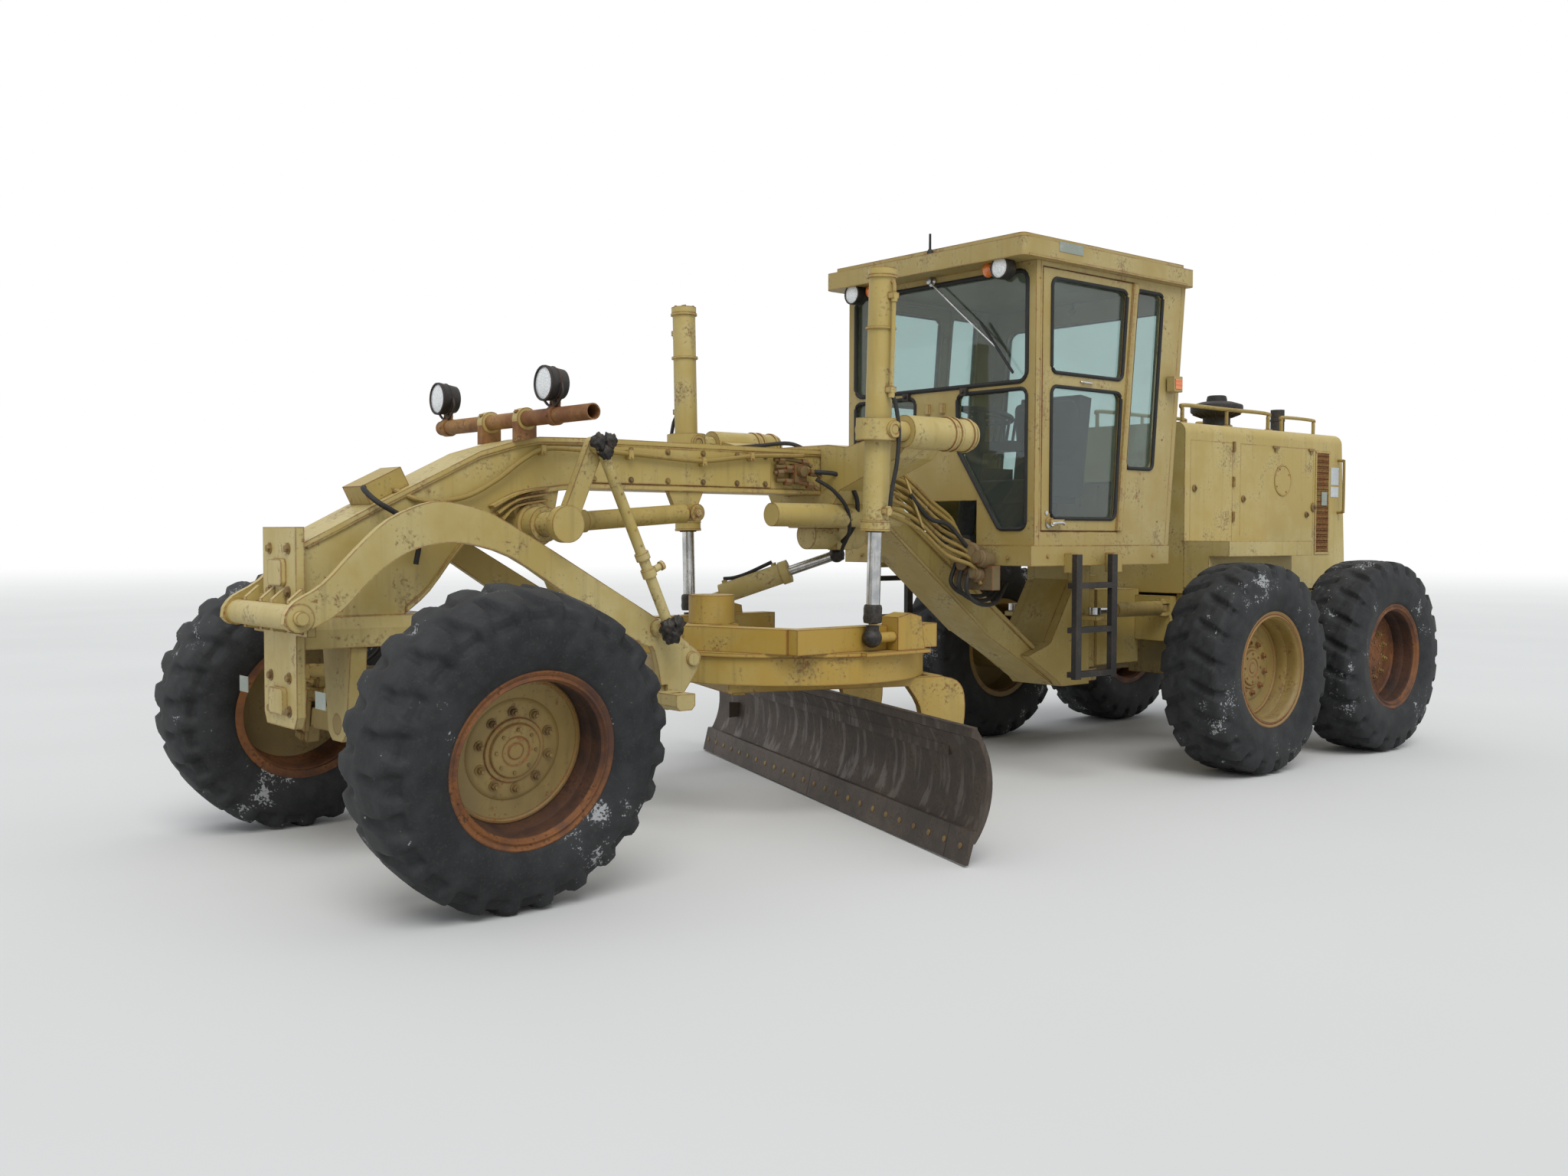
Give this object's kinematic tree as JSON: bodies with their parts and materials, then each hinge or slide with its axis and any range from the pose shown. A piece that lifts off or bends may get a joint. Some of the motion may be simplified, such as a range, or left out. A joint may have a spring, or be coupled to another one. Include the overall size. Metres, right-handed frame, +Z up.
{
  "type": "articulated motor grader",
  "caption": "Weathered yellow motor grader with leaning front wheels, a blade on a turning circle, a scarifier, a closed cab and tandem rear wheels.",
  "frame": {"origin": "on the ground under the middle of the bounding box", "axes": "+X forward, +Y to the machine's left, +Z up"},
  "size_m": [8.21, 3.5028, 3.135],
  "materials": {
    "yellow_paint": "weathered, chipped to rust at the edges",
    "black_paint": "dull black",
    "grey_trim": "matte",
    "rusty_steel": "worn bare and rusty",
    "greased_steel": "greasy",
    "chrome_rod": "polished",
    "tyre_rubber": "worn and dusty",
    "window_glass": "clear"
  },
  "bodies": {
    "front_frame": {"main_frame": "yellow_paint", "push_plate": "yellow_paint", "axle_beam": "yellow_paint", "lift_saddle": "yellow_paint", "hydraulic_lines": "yellow_paint", "light_bar": "rusty_steel", "cab_base": "yellow_paint", "cab_ends": "yellow_paint", "cab_sides": "yellow_paint", "cab_roof": "yellow_paint", "cab_glass": "window_glass", "operator_station": "grey_trim", "ladders": "black_paint"},
    "door_left": {"door_left": "yellow_paint"},
    "door_right": {"door_right": "yellow_paint"},
    "rear_body": {"rear_frame": "yellow_paint", "hood": "yellow_paint", "engine_block": "black_paint", "hood_fittings": "black_paint", "tandem_drive": "yellow_paint"},
    "articulation_barrel_left": {"articulation_barrel_left": "yellow_paint"},
    "articulation_barrel_right": {"articulation_barrel_right": "yellow_paint"},
    "articulation_rod_left": {"articulation_rod_left": "chrome_rod"},
    "articulation_rod_right": {"articulation_rod_right": "chrome_rod"},
    "wheel_yoke_left": {"wheel_yoke_left": "yellow_paint"},
    "wheel_yoke_right": {"wheel_yoke_right": "yellow_paint"},
    "lean_bar": {"lean_bar": "yellow_paint"},
    "knuckle_left": {"knuckle_left": "yellow_paint"},
    "knuckle_right": {"knuckle_right": "yellow_paint"},
    "tie_rod_end": {"tie_rod_end": "greased_steel"},
    "tie_rod": {"tie_rod": "greased_steel"},
    "drawbar_ball": {"drawbar_ball": "greased_steel"},
    "drawbar": {"drawbar": "yellow_paint"},
    "circle": {"circle": "yellow_paint"},
    "blade_bracket": {"blade_bracket": "yellow_paint"},
    "moldboard": {"moldboard": "rusty_steel"},
    "lift_yoke_left": {"lift_yoke_left": "yellow_paint"},
    "lift_yoke_right": {"lift_yoke_right": "yellow_paint"},
    "lift_barrel_left": {"lift_barrel_left": "yellow_paint"},
    "lift_barrel_right": {"lift_barrel_right": "yellow_paint"},
    "lift_rod_left": {"lift_rod_left": "chrome_rod"},
    "lift_rod_right": {"lift_rod_right": "chrome_rod"},
    "shift_ball": {"shift_ball": "greased_steel"},
    "shift_rod": {"shift_rod": "chrome_rod"},
    "shift_barrel": {"shift_barrel": "yellow_paint"},
    "scarifier": {"scarifier": "yellow_paint"},
    "scarifier_crank": {"scarifier_crank": "yellow_paint"},
    "scarifier_links": {"scarifier_links": "yellow_paint"},
    "wheel_front_left": {"tyre_front_left": "tyre_rubber", "rim_front_left": "yellow_paint"},
    "wheel_front_right": {"tyre_front_right": "tyre_rubber", "rim_front_right": "yellow_paint"},
    "wheel_mid_left": {"tyre_mid_left": "tyre_rubber", "rim_mid_left": "yellow_paint"},
    "wheel_mid_right": {"tyre_mid_right": "tyre_rubber", "rim_mid_right": "yellow_paint"},
    "wheel_rear_left": {"tyre_rear_left": "tyre_rubber", "rim_rear_left": "yellow_paint"},
    "wheel_rear_right": {"tyre_rear_right": "tyre_rubber", "rim_rear_right": "yellow_paint"}
  },
  "joints": [
    {"name": "articulation", "type": "hinge", "parent": "front_frame", "child": "rear_body", "pos_m": [-1.405, 0, 0.85], "axis": [0, 0, 1], "range_deg": [-20, 20]},
    {"name": "articulation_barrel_left", "type": "hinge", "parent": "rear_body", "child": "articulation_barrel_left", "pos_m": [-1.825, 0.36, 0.985], "axis": [0, 0, 1], "range_deg": [-9, 9]},
    {"name": "articulation_rod_left", "type": "slide", "parent": "articulation_barrel_left", "child": "articulation_rod_left", "axis": [0.999, -0.0441, 0], "range_m": [-0.135, 0.135]},
    {"name": "articulation_barrel_right", "type": "hinge", "parent": "rear_body", "child": "articulation_barrel_right", "pos_m": [-1.825, -0.36, 0.985], "axis": [0, 0, 1], "range_deg": [-9, 9]},
    {"name": "articulation_rod_right", "type": "slide", "parent": "articulation_barrel_right", "child": "articulation_rod_right", "axis": [0.999, 0.0441, 0], "range_m": [-0.135, 0.135]},
    {"name": "lean_left", "type": "hinge", "parent": "front_frame", "child": "wheel_yoke_left", "pos_m": [3.475, 0.74781, 0.6948], "axis": [-1, 0, 0], "range_deg": [-28, 8]},
    {"name": "lean_right", "type": "hinge", "parent": "front_frame", "child": "wheel_yoke_right", "pos_m": [3.475, -0.74781, 0.58019], "axis": [-1, 0, 0], "range_deg": [-29, 9]},
    {"name": "lean_bar_pin", "type": "hinge", "parent": "wheel_yoke_left", "child": "lean_bar", "pos_m": [3.475, 0.78688, 0.91638], "axis": [-1, 0, 0], "range_deg": [-9, 29]},
    {"name": "steer_left", "type": "hinge", "parent": "wheel_yoke_left", "child": "knuckle_left", "pos_m": [3.475, 0.90538, 0.66701], "axis": [0, 0.1736, 0.9848], "range_deg": [-50, 50]},
    {"name": "steer_right", "type": "hinge", "parent": "wheel_yoke_right", "child": "knuckle_right", "pos_m": [3.475, -0.90538, 0.60797], "axis": [0, 0.1736, 0.9848], "range_deg": [-51, 51]},
    {"name": "tie_rod_end_pin", "type": "hinge", "parent": "knuckle_left", "child": "tie_rod_end", "pos_m": [3.285, 0.87898, 0.51732], "axis": [0, 0.1736, 0.9848], "range_deg": [-51, 51]},
    {"name": "tie_rod_ball", "type": "hinge", "parent": "tie_rod_end", "child": "tie_rod", "pos_m": [3.285, 0.87898, 0.51732], "axis": [-1, 0, 0], "range_deg": [-8, 24]},
    {"name": "spin_front_left", "type": "hinge", "parent": "knuckle_left", "child": "wheel_front_left", "pos_m": [3.475, 1.07279, 0.63749], "axis": [0, 0.9848, -0.1736], "continuous": true},
    {"name": "spin_mid_left", "type": "hinge", "parent": "rear_body", "child": "wheel_mid_left", "pos_m": [-1.679, 1.08, 0.65], "axis": [0, 1, 0], "continuous": true},
    {"name": "spin_rear_left", "type": "hinge", "parent": "rear_body", "child": "wheel_rear_left", "pos_m": [-3.203, 1.08, 0.65], "axis": [0, 1, 0], "continuous": true},
    {"name": "spin_front_right", "type": "hinge", "parent": "knuckle_right", "child": "wheel_front_right", "pos_m": [3.475, -1.07279, 0.63749], "axis": [0, 0.9848, -0.1736], "continuous": true},
    {"name": "spin_mid_right", "type": "hinge", "parent": "rear_body", "child": "wheel_mid_right", "pos_m": [-1.679, -1.08, 0.65], "axis": [0, 1, 0], "continuous": true},
    {"name": "spin_rear_right", "type": "hinge", "parent": "rear_body", "child": "wheel_rear_right", "pos_m": [-3.203, -1.08, 0.65], "axis": [0, 1, 0], "continuous": true},
    {"name": "drawbar_swing", "type": "hinge", "parent": "front_frame", "child": "drawbar_ball", "pos_m": [3.145, 0, 0.905], "axis": [0, 0, 1], "range_deg": [-6, 8]},
    {"name": "drawbar_lift", "type": "hinge", "parent": "drawbar_ball", "child": "drawbar", "pos_m": [3.145, 0, 0.905], "axis": [0, 1, 0], "range_deg": [-9, 10]},
    {"name": "circle_turn", "type": "hinge", "parent": "drawbar", "child": "circle", "pos_m": [1.175, 0, 0.785], "axis": [0, 0, 1], "continuous": true},
    {"name": "blade_tip", "type": "hinge", "parent": "circle", "child": "blade_bracket", "pos_m": [0.7117, 0.15953, 0.215], "axis": [0.3256, 0.9455, 0], "range_deg": [-5, 35]},
    {"name": "side_shift", "type": "slide", "parent": "blade_bracket", "child": "moldboard", "axis": [-0.3256, -0.9455, 0], "range_m": [-0.38, 0.45]},
    {"name": "lift_yoke_left", "type": "hinge", "parent": "front_frame", "child": "lift_yoke_left", "pos_m": [1.235, 0.8, 1.989], "axis": [-1, 0, 0], "range_deg": [-11, 15]},
    {"name": "lift_trunnion_left", "type": "hinge", "parent": "lift_yoke_left", "child": "lift_barrel_left", "pos_m": [1.235, 0.8, 1.989], "axis": [0, 1, 0], "range_deg": [-7, 7]},
    {"name": "lift_rod_left", "type": "slide", "parent": "lift_barrel_left", "child": "lift_rod_left", "axis": [0, 0.0335, 0.9994], "range_m": [-0.32, 0.35]},
    {"name": "lift_yoke_right", "type": "hinge", "parent": "front_frame", "child": "lift_yoke_right", "pos_m": [1.235, -0.8, 1.989], "axis": [-1, 0, 0], "range_deg": [-11, 15]},
    {"name": "lift_trunnion_right", "type": "hinge", "parent": "lift_yoke_right", "child": "lift_barrel_right", "pos_m": [1.235, -0.8, 1.989], "axis": [0, 1, 0], "range_deg": [-7, 7]},
    {"name": "lift_rod_right", "type": "slide", "parent": "lift_barrel_right", "child": "lift_rod_right", "axis": [0, -0.0335, 0.9994], "range_m": [-0.32, 0.35]},
    {"name": "shift_yaw", "type": "hinge", "parent": "front_frame", "child": "shift_ball", "pos_m": [0.775, 0, 1.352], "axis": [0, 0, 1], "range_deg": [-9, 7]},
    {"name": "shift_pitch", "type": "hinge", "parent": "shift_ball", "child": "shift_rod", "pos_m": [0.775, 0, 1.352], "axis": [-0.7557, -0.6549, 0], "range_deg": [-21, 23]},
    {"name": "shift_stroke", "type": "slide", "parent": "shift_rod", "child": "shift_barrel", "axis": [0.6184, -0.7135, -0.3294], "range_m": [-0.19, 0.25]},
    {"name": "scarifier_lift", "type": "hinge", "parent": "front_frame", "child": "scarifier", "pos_m": [4.015, 0, 1.123], "axis": [0, 1, 0], "range_deg": [-21, 0]},
    {"name": "scarifier_crank", "type": "hinge", "parent": "front_frame", "child": "scarifier_crank", "pos_m": [2.811, 0, 1.508], "axis": [0, 1, 0], "range_deg": [-96, 1]},
    {"name": "scarifier_link", "type": "hinge", "parent": "scarifier_crank", "child": "scarifier_links", "pos_m": [2.66, 0, 1.866], "axis": [0, 1, 0], "range_deg": [-1, 72]},
    {"name": "door_left", "type": "hinge", "parent": "front_frame", "child": "door_left", "pos_m": [-0.787, 0.77, 1.491], "axis": [-0.096, 0, 0.9954], "range_deg": [0, 100]},
    {"name": "door_right", "type": "hinge", "parent": "front_frame", "child": "door_right", "pos_m": [-0.787, -0.77, 1.491], "axis": [0.096, 0, -0.9954], "range_deg": [0, 100]}
  ],
  "couplings": [
    {"joint": "articulation_barrel_left", "follows": "articulation", "ratio": -0.355},
    {"joint": "articulation_rod_left", "follows": "articulation", "m_per_rad": 0.3386},
    {"joint": "articulation_barrel_right", "follows": "articulation", "ratio": -0.355},
    {"joint": "articulation_rod_right", "follows": "articulation", "m_per_rad": -0.3386},
    {"joint": "lean_right", "follows": "lean_left", "ratio": 1},
    {"joint": "lean_bar_pin", "follows": "lean_left", "ratio": -1},
    {"joint": "steer_right", "follows": "steer_left", "ratio": 1},
    {"joint": "tie_rod_end_pin", "follows": "steer_left", "ratio": -1},
    {"joint": "tie_rod_ball", "follows": "lean_left", "ratio": -0.825},
    {"joint": "lift_yoke_left", "follows": "drawbar_swing", "ratio": 1.8},
    {"joint": "lift_trunnion_left", "follows": "drawbar_swing", "ratio": 0.72},
    {"joint": "lift_rod_left", "follows": "drawbar_lift", "m_per_rad": 1.9},
    {"joint": "lift_yoke_right", "follows": "drawbar_swing", "ratio": 1.8},
    {"joint": "lift_trunnion_right", "follows": "drawbar_swing", "ratio": -0.72},
    {"joint": "lift_rod_right", "follows": "drawbar_lift", "m_per_rad": 1.9},
    {"joint": "shift_yaw", "follows": "drawbar_swing", "ratio": -0.95},
    {"joint": "shift_pitch", "follows": "drawbar_lift", "ratio": 2.2},
    {"joint": "shift_stroke", "follows": "drawbar_swing", "m_per_rad": 1.69},
    {"joint": "scarifier_crank", "follows": "scarifier_lift", "ratio": 4.5},
    {"joint": "scarifier_link", "follows": "scarifier_lift", "ratio": -3.35}
  ]
}
